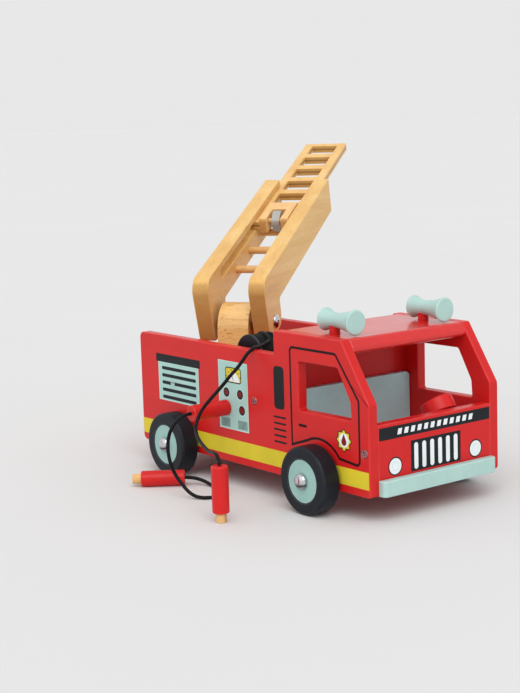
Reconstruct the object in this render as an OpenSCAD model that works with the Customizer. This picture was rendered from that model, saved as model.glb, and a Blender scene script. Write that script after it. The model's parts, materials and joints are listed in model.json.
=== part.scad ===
// Wooden toy fire engine with a turning, raising and extending ladder,
// a hose reel and two hoses with plugs. Millimetres, +Z up, +X to the front.
// The origin is on the floor, midway between the axles, on the centre plane.

/* [Body] */
// Length of the side panels
body_len = 310; // [300:1:330]
// Width over the side panels
body_w = 140; // [134:1:150]
// Thickness of the painted boards
board_t = 9; // [8:0.5:10]
// Height of the side panels' lower edge above the floor
sill_z = 20.6; // [19:0.1:22]
// Height of the low side walls beside the bed
wall_z = 120.2; // [116:0.1:121]
// Height of the cab roof
cab_z = 139.8; // [139:0.1:140]
// Thickness of the roof board
roof_t = 11.5; // [9:0.5:12]
// Height of the bed's upper face
bed_z = 82; // [80:1:84]

/* [Wheels] */
// Distance between the axles
wheelbase = 189; // [185:1:195]
// Radius of the tyres
tyre_r = 27.5; // [26:0.5:28]
// Width of the tyres
tyre_w = 16.5; // [14:0.5:18]
// Radius of the painted hub inside the tyre
hub_r = 17.4; // [16:0.1:19]
// Radius of the steel axles
axle_r = 2.5; // [2:0.1:3]

/* [Ladder] */
// Direction the ladder points, turned from straight ahead
ladder_heading = 126; // [90:1:180]
// Angle of the ladder above level
ladder_rise = 17; // [5:1:30]
// Height of the ladder's pivot above the floor
pivot_z = 127.5; // [127:0.1:128]
// Length of the rails ahead of the pivot
rail_len = 241; // [230:1:250]
// Thickness of each rail
rail_t = 15; // [13:0.5:16]
// Gap between the two rails
rail_gap = 37; // [36:0.5:40]
// Length of the sliding extension board
extension_len = 235; // [226:1:240]

/* [Horns] */
// Largest radius of each horn
horn_r = 10.2; // [9:0.1:10.4]
// Length of each horn
horn_len = 37.5; // [34:0.5:38]

/* [Hoses] */
// Diameter of the hoses
hose_d = 3; // [2.5:0.1:3.5]
// Radius of the plugs' painted barrels
plug_r = 6.8; // [6.8:0.1:7.2]
// Length of the plugs' painted barrels
plug_len = 37.5; // [37.5:0.5:38]

/* [Hidden] */
$fn = 72;

// Paint and wood colours
RED = [0.80, 0.16, 0.15];
AQUA = [0.66, 0.82, 0.78];
NAVY = [0.14, 0.16, 0.20];
WOOD = [0.88, 0.70, 0.44];
STEEL = [0.80, 0.80, 0.82];
CATCH_GREY = [0.70, 0.71, 0.68];

// Running gap between parts that turn or slide, and the gap round a turning pin
gap = 0.3;
pin_gap = 0.06;

// Body derived from the driving sizes
half_w = body_w / 2;
inner_y = half_w - board_t;
rear_x = -body_len / 2 - 1;
front_x = rear_x + body_len;
step_x = front_x - 114;
roof_back_x = step_x + 6;
pillar_top_x = front_x - 31;
pillar_knee_z = cab_z - 46.8;
pillar_run = (front_x - pillar_top_x) / (cab_z - pillar_knee_z);
roof_z = cab_z - roof_t;
roof_edge = 4;
roof_edge_low = 3.5;
axle_x = wheelbase / 2;
axle_z = tyre_r;
cab_wall_x = roof_back_x + board_t;
front_panel_z = 76.5;
tail_z = 95;
floor_above_sill = 24.4;
floor_top_z = sill_z + floor_above_sill;

// Side panel outline and window, each point with its corner radius
SIDE = [
    [rear_x, sill_z, 5], [front_x, sill_z, 3], [front_x, pillar_knee_z, 5],
    [pillar_top_x, cab_z, 3], [step_x, cab_z, 2], [step_x, wall_z, 1], [rear_x, wall_z, 5]];
WINDOW = [
    [front_x - 83.5, 78, 2], [front_x - 20.2, 78.6, 2], [front_x - 21.2, 92.9, 4],
    [front_x - 35.6, 118, 3], [front_x - 83.2, 117.7, 2]];

// Screws through each side panel, and the socket for the side plug
SCREW_SPOTS = [[11.8, bed_z - board_t / 2], [148, 54.6]];
screw_head_r = 3.6;
screw_head_t = 2.4;
screw_shank_r = 1.6;
screw_len = 24;
screw_cross = [4.2, 2.4, 0.9];
screw_cross_turn = 30;
socket_x = -26;
socket_z = 67.5;
plug_tip_r = 4.3;
plug_tip_len = 7.5;
plug_tip_sink = 8;
plug_tip_edge = 0.7;
plug_tip_edge_in = 0.3;
plug_edge = 1.2;

// Bumper, seat and steering wheel
bumper_t = 7;
bumper_low_z = 21;
bumper_high_z = 33.5;
bumper_corner = 3.5;
bumper_back_edge = 0.4;
seat_t = 6;
seat_top_z = 92;
seat_gap = 0.5;
seat_corner = 4;
seat_low_edge = 0.5;
steer_x = front_x - 28.8;
steer_y = 28;
steer_z = 79;
steer_tilt = 35;
steer_r = 13.8;
steer_t = 12;
steer_edge = 1.6;
steer_peg_r = 3;
steer_peg_start = 4;
steer_peg_end = 40.4;

// Horns
horn_x = 91.5;
horn_y = 48.2;
horn_z = cab_z + horn_r + 0.6;
horn_back_r = 9.3;
horn_waist_r = 6;
horn_back = 11.5;
horn_edge = 1.6;
horn_waist_at = 0.4;
horn_back_power = 1.8;
horn_mouth_power = 1.5;
post_r = 4.4;
post_sink = 6;

// Wheels
washer_t = 1.4;
washer_r = 6;
wheel_in_y = half_w + washer_t + 2 * gap;
wheel_out_y = wheel_in_y + tyre_w;
cap_r = 6.5;
cap_h = 4.4;
cap_rim = 0.8;
cap_seat = 2.5;
axle_end_y = wheel_out_y + cap_seat;
hub_inset = 0.7;
hub_edge = 0.2;
tyre_edge_in = 2;
tyre_edge_out = 2.5;
tyre_seat_edge = 0.6;

// Hose reel behind the cab
reel_x = -16;
reel_z = 110.5;
reel_r = 18.3;
reel_out_y = -52;
reel_in_y = -28;
flange_t = 2.5;
flange_edge = 0.8;
flange_bore_edge = 0.2;
core_r = 8;
wound_r = 17.9;
reel_axle_r = 3;
bracket_t = 5;
bracket_w = 16;
bracket_out_y = -inner_y + 0.4;
bracket_in_y = reel_in_y + 3.5;

// Turret that carries the ladder
turret_x = -97;
turret_w = 29;
turret_depth = 45;
turret_arc_z = pivot_z - 5.5;
swivel_r = 3;
swivel_len = 34;
swivel_head_r = 6;
swivel_head_t = 3;
swivel_cross = [6, 1.2, 2.4];
swivel_washer_r = swivel_head_r + 2;

// Ladder, in its own frame: X along the rails, Z square to them, from the pivot
rail_in_y = rail_gap / 2;
rail_out_y = rail_in_y + rail_t;
rail_top = 48;
rail_under = 13;
leg_low = -12;
RAIL = [
    [-24, rail_top, 13], [-19.5, leg_low, 3], [21.5, leg_low, 10], [22, rail_under, 3],
    [rail_len, rail_under, 0.8], [rail_len, rail_top, 0.8]];
pivot_r = 3;
bolt_head_r = 6.5;
bolt_head_t = 3.2;
bolt_cross = [5.6, 3.6, 1.1];
bolt_cross_turn = 35;
spacer_r = 7;
extension_t = 8;
extension_z = 33;
groove_start = 20;
groove_depth = 4.6;
extension_half_w = rail_in_y + groove_depth - gap;
rung_r = 3.6;
rung_z = 22.3;
rung_first = 66;
rung_pitch = 46.5;
rung_count = 4;
rung_sink = 6;
extension_x = 140;
slot_pitch = 37;
slot_len = 25.7;
slot_half_w = 14.3;
slot_count = 5;
slot_end = 7.6;
fork_len = 44;
fork_half_w = 14.5;
fork_low = 29;
fork_top = 44.5;
fork_edge = 4;
fork_edge_low = 2;
notch_half_w = 7;
notch_len = 25;
pawl_half_w = 4;
pawl_x = 149.7;
pawl_z = 38.4;
pawl_pin_r = 2.4;
PAWL = [
    [157, 46.2, 1], [145, 40.2, 3], [145.2, 35.2, 3], [150.6, 26.4, 0.7], [153.6, 27, 0.7],
    [154.2, 35.4, 3.5], [160, 43.6, 1]];

// Route of the hose from the reel to the nozzle that stands on the floor
nozzle_x = 65;
nozzle_y = -146;
nozzle_top_z = plug_tip_len + plug_len;
REEL_HOSE = [
    [-2, -41, 124], [2, -48, 123], [5, -55, 122], [8, -61, 122], [11, -66, 122.5],
    [13, -71, 121.5], [13, -76, 118.5], [12, -80, 113.5], [10, -85, 107], [7, -90, 101],
    [4, -94, 95], [0, -99, 88], [-4, -104, 81], [-7, -109, 74], [-8, -113, 67],
    [-6, -117, 61], [0, -121, 57], [8, -125, 54.5], [18, -129, 52.5], [29, -133, 51],
    [39, -137, 50.5], [47, -140, 51.5], [53.5, -142.5, 52.5], [59.5, -144.5, 52], [63.5, -145.5, 49],
    [nozzle_x, nozzle_y, nozzle_top_z]];

// Route of the hose from the side plug to the end plug that lies on the floor
side_plug_y = -half_w - plug_len;
end_plug_x = -52;
end_plug_y = -98;
end_plug_heading = 232.5;
PLUG_HOSE = [
    [socket_x, side_plug_y, socket_z], [-26, -113, 67.2], [-26.5, -118.8, 65.2],
    [-27.3, -123.8, 61], [-28.2, -127.3, 55.2], [-28.8, -129.3, 48.6], [-28.9, -130, 41.6],
    [-28.3, -129.8, 34.6], [-26.9, -129, 27.8], [-24.6, -127.6, 21.2], [-21.2, -125.8, 15.2],
    [-16.6, -124, 10], [-11.6, -122, 5.4], [-6, -119.4, 2.6], [-1, -115.6, 1.7],
    [2.4, -110.4, 1.6], [3.4, -104.2, 1.6], [1.6, -98, 1.6], [-3, -92, 1.6], [-9, -88.6, 1.6],
    [-15.6, -87, 1.6], [-22.4, -86.2, 1.6], [-29, -86, 1.8], [-35.2, -86.2, 2.8],
    [-40.6, -87.4, 4.2], [-45, -90.2, 5.6], [-48.8, -94, 6.5],
    [end_plug_x, end_plug_y, plug_r]];
hose_sides = 8;

// ---- helpers ----

function unit(v) = v / norm(v);

// Arc that rounds the corner at b, between its neighbours a and c
function corner_arc(a, b, c, r, steps) =
    let (
        to_a = unit(a - b),
        to_c = unit(c - b),
        half = acos(to_a * to_c) / 2,
        centre = b + unit(to_a + to_c) * r / sin(half),
        first = b + to_a * r / tan(half) - centre,
        last = b + to_c * r / tan(half) - centre,
        a0 = atan2(first[1], first[0]),
        a1 = atan2(last[1], last[0]),
        sweep = (a1 - a0 + 540) % 360 - 180)
    [for (i = [0:steps]) centre + r * [cos(a0 + sweep * i / steps), sin(a0 + sweep * i / steps)]];

function flat(p) = [p[0], p[1]];

// Outline whose points each carry a corner radius; a radius of 0 leaves the corner plain
function rounded(points, steps = 6) =
    let (n = len(points))
    [for (i = [0:n - 1])
        each points[i][2] == 0
            ? [flat(points[i])]
            : corner_arc(flat(points[(i + n - 1) % n]), flat(points[i]),
                         flat(points[(i + 1) % n]), points[i][2], steps)];

// An outline in X and Z, made into a board from y to y + t
module board_xz(y, t) {
    translate([0, y + t, 0]) rotate([90, 0, 0]) linear_extrude(t) children();
}

// A cylinder along Y from y to y + length
module rod_y(x, y, z, r, length) {
    translate([x, y + length, z]) rotate([90, 0, 0]) cylinder(r = r, h = length);
}

// Turns a profile of radius and height into a solid about the Y axis, facing side
module turned_y(x, y, z, side) {
    translate([x, y, z]) rotate([-90 * side, 0, 0]) rotate_extrude() children();
}

// The ladder's own frame, at rest
module ladder_frame() {
    translate([turret_x, 0, pivot_z])
        rotate([0, 0, ladder_heading])
            rotate([0, -ladder_rise, 0])
                children();
}

// The turret's frame: it turns with the ladder but doesn't rise
module turret_frame() {
    translate([turret_x, 0, 0]) rotate([0, 0, ladder_heading]) children();
}

// Direction of a route at point i, and a sideways direction carried along it
function heading(route, i) =
    unit(route[min(i + 1, len(route) - 1)] - route[max(i - 1, 0)]);
function carried(route, i, start) =
    let (
        t = heading(route, i),
        s = i == 0 ? start : carried(route, i - 1, start))
    unit(s - t * (s * t));
function ring(route, i, r, start) =
    let (
        t = heading(route, i),
        s = carried(route, i, start),
        w = cross(t, s))
    [for (k = [0:hose_sides - 1])
        route[i] + r * (s * cos(360 * k / hose_sides) + w * sin(360 * k / hose_sides))];

function reversed(list) = [for (i = [len(list) - 1:-1:0]) list[i]];

// A hose swept along its route
module hose(route, start) {
    n = len(route);
    m = hose_sides;
    points = [for (i = [0:n - 1]) each ring(route, i, hose_d / 2, start)];
    walls = [for (i = [0:n - 2], k = [0:m - 1]) each [
        [i * m + k, i * m + (k + 1) % m, (i + 1) * m + (k + 1) % m],
        [i * m + k, (i + 1) * m + (k + 1) % m, (i + 1) * m + k]]];
    ends = [[for (k = [m - 1:-1:0]) k], [for (k = [0:m - 1]) (n - 1) * m + k]];
    polyhedron(points, [for (f = concat(walls, ends)) reversed(f)]);
}

// ---- body ----

// One side panel with its holes; side is 1 for left and -1 for right
module side_panel(side) {
    y = side > 0 ? inner_y : -half_w;
    color(RED) difference() {
        board_xz(y, board_t) difference() {
            polygon(rounded(SIDE));
            polygon(rounded(WINDOW));
        }
        for (x = [-axle_x, axle_x]) rod_y(x, y - 1, axle_z, axle_r, board_t + 2);
        for (s = SCREW_SPOTS) screw_hole(s, side);
        rod_y(socket_x, y - 1, socket_z, plug_tip_r, board_t + 2);
    }
}

// Space for one countersunk screw through a side panel
module screw_hole(spot, side) {
    mirror([0, side > 0 ? 1 : 0, 0]) {
        rod_y(spot[0], -half_w - 1, spot[1], screw_head_r, screw_head_t + 1);
        rod_y(spot[0], -half_w, spot[1], screw_shank_r, screw_len);
    }
}

module side_right() { side_panel(-1); }
module side_left() { side_panel(1); }

module bed_deck() {
    color(RED) difference() {
        translate([rear_x + board_t, -inner_y, bed_z - board_t])
            cube([roof_back_x - rear_x - board_t, 2 * inner_y, board_t]);
        translate([turret_x, 0, bed_z - board_t - 1])
            cylinder(r = swivel_r + pin_gap, h = board_t + 2);
        for (side = [-1, 1]) screw_hole(SCREW_SPOTS[0], side);
    }
}

module chassis_floor() {
    color(RED) translate([rear_x + board_t, -inner_y, floor_top_z - board_t])
        cube([body_len - 2 * board_t, 2 * inner_y, board_t]);
}

module tailboard() {
    color(RED) translate([rear_x, -inner_y, sill_z])
        cube([board_t, 2 * inner_y, tail_z - sill_z]);
}

module cab_rear_wall() {
    color(RED) translate([roof_back_x, -inner_y, floor_top_z])
        cube([board_t, 2 * inner_y, roof_z - floor_top_z]);
}

// The roof's front edge follows the slope of the windscreen pillars and is rounded
module roof_panel() {
    color(RED) difference() {
        board_xz(-inner_y, 2 * inner_y) polygon(rounded([
            [roof_back_x, roof_z, 0], [pillar_top_x + roof_t * pillar_run, roof_z, roof_edge_low],
            [pillar_top_x, cab_z, roof_edge], [roof_back_x, cab_z, 0]]));
        for (side = [-1, 1])
            translate([horn_x, side * horn_y, cab_z - post_sink])
                cylinder(r = post_r, h = post_sink + 1);
    }
}

module front_panel() {
    color(RED) difference() {
        translate([front_x - board_t, -inner_y, sill_z])
            cube([board_t, 2 * inner_y, front_panel_z - sill_z]);
        for (side = [-1, 1]) screw_hole(SCREW_SPOTS[1], side);
        steering_frame() steering_peg_shape();
    }
}

module bumper() {
    color(AQUA) translate([0, 0, bumper_low_z]) linear_extrude(bumper_high_z - bumper_low_z)
        polygon(rounded([
            [front_x, -inner_y, bumper_back_edge], [front_x + bumper_t, -inner_y, bumper_corner],
            [front_x + bumper_t, inner_y, bumper_corner], [front_x, inner_y, bumper_back_edge]]));
}

module seat_back() {
    y = inner_y - seat_gap;
    color(AQUA) translate([cab_wall_x, 0, 0]) rotate([90, 0, 90]) linear_extrude(seat_t)
        polygon(rounded([
            [-y, floor_top_z, seat_low_edge], [y, floor_top_z, seat_low_edge], [y, seat_top_z, seat_corner],
            [-y, seat_top_z, seat_corner]]));
}

// The steering wheel's frame: the origin on its face towards the driver, +Z down its peg
module steering_frame() {
    translate([steer_x, steer_y, steer_z]) rotate([0, 180 - steer_tilt, 0]) children();
}

module steering_peg_shape() {
    translate([0, 0, steer_peg_start])
        cylinder(r = steer_peg_r, h = steer_peg_end - steer_peg_start);
}

// Thick turned disc with a rounded rim, leaning towards the driver
module steering_wheel() {
    color(RED) steering_frame() difference() {
        rotate_extrude() polygon(rounded([
            [0, 0, 0], [steer_r, 0, steer_edge], [steer_r, steer_t, steer_edge], [0, steer_t, 0]]));
        steering_peg_shape();
    }
}

module steering_peg() {
    color(WOOD) steering_frame() steering_peg_shape();
}

// Radius of a horn at t, from 0 at its back to 1 at its mouth
function horn_radius(t) =
    t < horn_waist_at
        ? horn_waist_r + (horn_back_r - horn_waist_r) * pow(1 - t / horn_waist_at, horn_back_power)
        : horn_waist_r + (horn_r - horn_waist_r)
            * pow((t - horn_waist_at) / (1 - horn_waist_at), horn_mouth_power);

module horn(side) {
    steps = 24;
    back = [for (a = [0:15:90])
        [horn_back_r - horn_edge + horn_edge * sin(a), horn_edge - horn_edge * cos(a)]];
    wall = [for (i = [2:steps - 1])
        [horn_radius(i / steps), horn_len * i / steps]];
    mouth = [for (a = [0:15:90])
        [horn_r - horn_edge + horn_edge * cos(a), horn_len - horn_edge + horn_edge * sin(a)]];
    color(AQUA) difference() {
        translate([horn_x - horn_back, side * horn_y, horn_z]) rotate([0, 90, 0]) rotate_extrude()
            polygon(concat([[0, 0]], back, wall, mouth, [[0, horn_len]]));
        translate([horn_x, side * horn_y, cab_z]) cylinder(r = post_r, h = horn_z - cab_z - 1);
    }
}

module horn_right() { horn(-1); }
module horn_left() { horn(1); }

module horn_posts() {
    color(RED) for (side = [-1, 1])
        translate([horn_x, side * horn_y, cab_z - post_sink])
            cylinder(r = post_r, h = horn_z - 1 - cab_z + post_sink);
}

// Countersunk screws with a cross recess, four in all
module panel_screws() {
    color(STEEL) for (spot = SCREW_SPOTS, side = [0, 1]) mirror([0, side, 0])
        difference() {
            union() {
                rod_y(spot[0], -half_w, spot[1], screw_head_r, screw_head_t);
                rod_y(spot[0], -half_w + screw_head_t, spot[1], screw_shank_r,
                      screw_len - screw_head_t);
            }
            translate([spot[0], -half_w, spot[1]]) rotate([0, screw_cross_turn, 0]) for (a = [0, 90])
                rotate([0, a, 0]) cube(screw_cross, center = true);
        }
}

// ---- wheels ----

module axle(x) {
    color(STEEL) rod_y(x, -axle_end_y, axle_z, axle_r, 2 * axle_end_y);
}

module front_axle() { axle(axle_x); }
module rear_axle() { axle(-axle_x); }

// Domed cap pressed on each end of an axle
module axle_caps(x) {
    color(STEEL) for (side = [-1, 1]) difference() {
        turned_y(x, side * (wheel_out_y + gap), axle_z, side)
            polygon([
                for (a = [0:10:90]) [cap_r * cos(a), cap_rim + (cap_h - cap_rim) * sin(a)],
                [0, 0], [cap_r, 0]]);
        rod_y(x, -axle_end_y, axle_z, axle_r, 2 * axle_end_y);
    }
}

module front_axle_caps() { axle_caps(axle_x); }
module rear_axle_caps() { axle_caps(-axle_x); }

module axle_washers() {
    color(STEEL) for (x = [-axle_x, axle_x], side = [-1, 1]) difference() {
        rod_y(x, side > 0 ? half_w + gap : -half_w - gap - washer_t, axle_z, washer_r, washer_t);
        rod_y(x, side > 0 ? half_w : -half_w - gap - washer_t - 1, axle_z, axle_r, washer_t + 2);
    }
}

module tyre(x, side) {
    color(NAVY) turned_y(x, side * wheel_in_y, axle_z, side)
        polygon(rounded([
            [hub_r, 0, tyre_seat_edge], [tyre_r, 0, tyre_edge_in], [tyre_r, tyre_w, tyre_edge_out],
            [hub_r, tyre_w, tyre_seat_edge]]));
}

module hub(x, side) {
    color(AQUA) turned_y(x, side * wheel_in_y, axle_z, side)
        polygon(rounded([
            [axle_r + pin_gap, hub_edge, hub_edge], [hub_r, hub_edge, hub_edge],
            [hub_r, tyre_w - hub_inset, hub_edge],
            [axle_r + pin_gap, tyre_w - hub_inset, hub_edge]], 2));
}

module tyre_front_right() { tyre(axle_x, -1); }
module tyre_front_left() { tyre(axle_x, 1); }
module tyre_rear_right() { tyre(-axle_x, -1); }
module tyre_rear_left() { tyre(-axle_x, 1); }
module hub_front_right() { hub(axle_x, -1); }
module hub_front_left() { hub(axle_x, 1); }
module hub_rear_right() { hub(-axle_x, -1); }
module hub_rear_left() { hub(-axle_x, 1); }

// ---- hose reel ----

// Upright that holds one end of the reel's axle
module reel_bracket(y) {
    color(RED) difference() {
        union() {
            translate([reel_x - bracket_w / 2, y, bed_z])
                cube([bracket_w, bracket_t, reel_z - bed_z]);
            rod_y(reel_x, y, reel_z, bracket_w / 2, bracket_t);
        }
        rod_y(reel_x, y - 1, reel_z, reel_axle_r + pin_gap, bracket_t + 2);
    }
}

module reel_bracket_outer() { reel_bracket(bracket_out_y); }
module reel_bracket_inner() { reel_bracket(bracket_in_y); }

module reel_flange(y) {
    color(NAVY) translate([reel_x, y + flange_t, reel_z]) rotate([90, 0, 0]) rotate_extrude()
        polygon(rounded([
            [reel_axle_r, 0, flange_bore_edge], [reel_r, 0, flange_edge],
            [reel_r, flange_t, flange_edge], [reel_axle_r, flange_t, flange_bore_edge]], 3));
}

module reel_flange_outer() { reel_flange(reel_out_y); }
module reel_flange_inner() { reel_flange(reel_in_y - flange_t); }

module reel_core() {
    length = reel_in_y - reel_out_y - 2 * flange_t;
    color(NAVY) difference() {
        rod_y(reel_x, reel_out_y + flange_t, reel_z, core_r, length);
        rod_y(reel_x, reel_out_y, reel_z, reel_axle_r, length + 2 * flange_t);
    }
}

module reel_axle() {
    color(WOOD) rod_y(reel_x, bracket_out_y, reel_z, reel_axle_r,
                      bracket_in_y + bracket_t - bracket_out_y);
}

// Outer shape of the hose wound on the core
module wound_hose() {
    length = reel_in_y - reel_out_y - 2 * flange_t;
    color(NAVY) difference() {
        rod_y(reel_x, reel_out_y + flange_t, reel_z, wound_r, length);
        rod_y(reel_x, reel_out_y, reel_z, core_r, length + 2 * flange_t);
    }
}

// ---- turret and ladder ----

module turret_block() {
    color(WOOD) turret_frame() difference() {
        union() {
            translate([-turret_depth / 2, -turret_w / 2, bed_z + gap])
                cube([turret_depth, turret_w, turret_arc_z - bed_z - gap]);
            rod_y(0, -turret_w / 2, turret_arc_z, turret_depth / 2, turret_w);
        }
        rod_y(0, -turret_w, pivot_z, pivot_r + pin_gap, 2 * turret_w);
        translate([0, 0, bed_z]) cylinder(r = swivel_r, h = swivel_len - board_t - gap);
    }
}

// Screw driven up through the deck into the block
module swivel_screw() {
    low = bed_z - board_t - gap - washer_t - swivel_head_t;
    color(STEEL) turret_frame() {
        translate([0, 0, low]) difference() {
            cylinder(r = swivel_head_r, h = swivel_head_t);
            for (a = [0, 90]) rotate([0, 0, a]) cube(swivel_cross, center = true);
        }
        translate([0, 0, low + swivel_head_t])
            cylinder(r = swivel_r, h = bed_z + swivel_len - board_t - gap - low - swivel_head_t);
    }
}

module swivel_washer() {
    color(STEEL) turret_frame()
        translate([0, 0, bed_z - board_t - gap - washer_t]) difference() {
            cylinder(r = swivel_washer_r, h = washer_t);
            translate([0, 0, -1]) cylinder(r = swivel_r, h = washer_t + 2);
        }
}

// Bolt through both rails and the block, with a domed cross-head at each end
module pivot_bolt() {
    color(STEEL) ladder_frame() {
        rod_y(0, -rail_out_y, 0, pivot_r, 2 * rail_out_y);
        for (side = [-1, 1]) difference() {
            turned_y(0, side * rail_out_y, 0, side)
                polygon([
                    for (a = [0:10:90]) [bolt_head_r * cos(a), cap_rim + (bolt_head_t - cap_rim) * sin(a)],
                    [0, 0], [bolt_head_r, 0]]);
            translate([0, side * (rail_out_y + bolt_head_t), 0]) rotate([0, bolt_cross_turn, 0])
                for (a = [0, 90]) rotate([0, a, 0]) cube(bolt_cross, center = true);
        }
    }
}

module pivot_spacers() {
    length = rail_in_y - turret_w / 2 - gap;
    color(STEEL) ladder_frame() for (side = [-1, 1]) difference() {
        rod_y(0, side > 0 ? rail_in_y - length : -rail_in_y, 0, spacer_r, length);
        rod_y(0, -rail_in_y - 1, 0, pivot_r, 2 * rail_in_y + 2);
    }
}

// Cranked rail with a groove for the extension and blind holes for the rungs
module rail(side) {
    color(WOOD) ladder_frame() difference() {
        board_xz(side > 0 ? rail_in_y : -rail_out_y, rail_t) polygon(rounded(RAIL));
        rod_y(0, side > 0 ? rail_in_y - 1 : -rail_out_y - 1, 0, pivot_r, rail_t + 2);
        translate([groove_start, -rail_in_y - groove_depth, extension_z - gap])
            cube([rail_len, 2 * (rail_in_y + groove_depth), extension_t + 2 * gap]);
        for (i = [0:rung_count - 1])
            rod_y(rung_first + i * rung_pitch, -rail_in_y - rung_sink, rung_z, rung_r,
                  2 * (rail_in_y + rung_sink));
    }
}

module rail_right() { rail(-1); }
module rail_left() { rail(1); }

module ladder_rungs() {
    color(WOOD) ladder_frame() for (i = [0:rung_count - 1])
        rod_y(rung_first + i * rung_pitch, -rail_in_y - rung_sink, rung_z, rung_r,
              2 * (rail_in_y + rung_sink));
}

// Notch in the fork for the catch
module pawl_notch() {
    translate([extension_x - 1, -notch_half_w, fork_low - 1])
        cube([notch_len + 1, 2 * notch_half_w, fork_top - fork_low + 2]);
}

// Board with a row of slots, sliding in the rails' grooves, cut out at its lower end for the fork
module ladder_extension() {
    last = extension_x + extension_len;
    color(WOOD) ladder_frame() difference() {
        translate([extension_x, -extension_half_w, extension_z])
            cube([extension_len, 2 * extension_half_w, extension_t]);
        for (i = [0:slot_count - 1])
            translate([last - slot_end - slot_len - i * slot_pitch, -slot_half_w, extension_z - 1])
                cube([slot_len, 2 * slot_half_w, extension_t + 2]);
        translate([extension_x - 1, -fork_half_w, extension_z - 1])
            cube([fork_len + 1, 2 * fork_half_w, extension_t + 2]);
    }
}

// Block with two legs that carry the catch between them
module pawl_fork() {
    color(WOOD) ladder_frame() difference() {
        board_xz(-fork_half_w, 2 * fork_half_w) polygon(rounded([
            [extension_x, fork_low, fork_edge_low], [extension_x + fork_len, fork_low, 0],
            [extension_x + fork_len, fork_top, 0], [extension_x, fork_top, fork_edge]]));
        pawl_notch();
        rod_y(pawl_x, -fork_half_w - 1, pawl_z, pawl_pin_r, 2 * fork_half_w + 2);
    }
}

module pawl_pin() {
    color(WOOD) ladder_frame()
        rod_y(pawl_x, -fork_half_w, pawl_z, pawl_pin_r, 2 * fork_half_w);
}

// Bent catch that swings on the pin and drops between the rungs
module pawl() {
    color(CATCH_GREY) ladder_frame() difference() {
        board_xz(-pawl_half_w, 2 * pawl_half_w) polygon(rounded(PAWL, 5));
        rod_y(pawl_x, -pawl_half_w - 1, pawl_z, pawl_pin_r + pin_gap, 2 * pawl_half_w + 2);
    }
}

// ---- hoses and plugs ----

// Painted barrel and bare dowel tip of a plug, pointing down +Z from its hose end
module plug_barrel() {
    color(RED) difference() {
        rotate_extrude() polygon(rounded([
            [0, 0, 0], [plug_r, 0, plug_edge], [plug_r, plug_len, plug_edge],
            [0, plug_len, 0]], 4));
        translate([0, 0, plug_len - plug_tip_sink])
            cylinder(r = plug_tip_r, h = plug_tip_sink + 1);
    }
}

module plug_dowel() {
    length = plug_tip_len + plug_tip_sink;
    color(WOOD) translate([0, 0, plug_len - plug_tip_sink]) rotate_extrude() polygon(rounded([
        [0, 0, 0], [plug_tip_r, 0, plug_tip_edge_in], [plug_tip_r, length, plug_tip_edge],
        [0, length, 0]], 3));
}

module at_side_plug() {
    translate([socket_x, side_plug_y, socket_z]) rotate([-90, 0, 0]) children();
}

module at_end_plug() {
    translate([end_plug_x, end_plug_y, plug_r]) rotate([0, 90, end_plug_heading]) children();
}

module at_nozzle() {
    translate([nozzle_x, nozzle_y, nozzle_top_z]) rotate([180, 0, 0]) children();
}

module side_plug() { at_side_plug() plug_barrel(); }
module side_plug_tip() { at_side_plug() plug_dowel(); }
module end_plug() { at_end_plug() plug_barrel(); }
module end_plug_tip() { at_end_plug() plug_dowel(); }
module nozzle() { at_nozzle() plug_barrel(); }
module nozzle_tip() { at_nozzle() plug_dowel(); }

module reel_hose() { color(NAVY) hose(REEL_HOSE, [0, 0, 1]); }
module plug_hose() { color(NAVY) hose(PLUG_HOSE, [0, 0, 1]); }

side_right();
side_left();
bed_deck();
chassis_floor();
tailboard();
cab_rear_wall();
roof_panel();
front_panel();
bumper();
seat_back();
steering_wheel();
steering_peg();
horn_right();
horn_left();
horn_posts();
panel_screws();
front_axle();
rear_axle();
front_axle_caps();
rear_axle_caps();
axle_washers();
tyre_front_right();
tyre_front_left();
tyre_rear_right();
tyre_rear_left();
hub_front_right();
hub_front_left();
hub_rear_right();
hub_rear_left();
reel_bracket_outer();
reel_bracket_inner();
reel_flange_outer();
reel_flange_inner();
reel_core();
reel_axle();
wound_hose();
turret_block();
swivel_screw();
swivel_washer();
pivot_bolt();
pivot_spacers();
rail_right();
rail_left();
ladder_rungs();
ladder_extension();
pawl_fork();
pawl_pin();
pawl();
side_plug();
side_plug_tip();
end_plug();
end_plug_tip();
nozzle();
nozzle_tip();
reel_hose();
plug_hose();
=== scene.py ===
import json
import math

import bmesh
import bpy
from mathutils import Matrix, Vector
from mathutils.geometry import tessellate_polygon


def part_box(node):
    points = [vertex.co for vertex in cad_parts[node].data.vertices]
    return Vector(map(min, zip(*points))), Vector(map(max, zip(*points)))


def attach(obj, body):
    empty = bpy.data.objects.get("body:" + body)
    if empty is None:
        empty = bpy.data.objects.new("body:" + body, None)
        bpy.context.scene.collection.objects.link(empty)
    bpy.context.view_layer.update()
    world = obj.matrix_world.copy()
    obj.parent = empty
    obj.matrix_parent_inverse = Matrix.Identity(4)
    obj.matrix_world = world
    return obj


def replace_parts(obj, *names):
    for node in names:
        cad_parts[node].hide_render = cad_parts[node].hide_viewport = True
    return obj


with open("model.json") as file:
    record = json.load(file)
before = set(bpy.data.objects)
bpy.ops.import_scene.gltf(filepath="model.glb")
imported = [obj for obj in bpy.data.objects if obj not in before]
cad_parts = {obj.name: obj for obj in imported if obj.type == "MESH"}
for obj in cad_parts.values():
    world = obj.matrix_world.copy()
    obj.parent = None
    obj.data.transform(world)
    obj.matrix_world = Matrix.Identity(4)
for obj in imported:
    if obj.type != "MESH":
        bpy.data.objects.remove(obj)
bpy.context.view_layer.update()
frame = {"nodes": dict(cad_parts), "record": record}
MM = 0.001
RECORD = frame["record"]
BODY_OF = {n: b for b, nodes in RECORD["behaviour"]["bodies"].items() for n in nodes}
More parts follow.
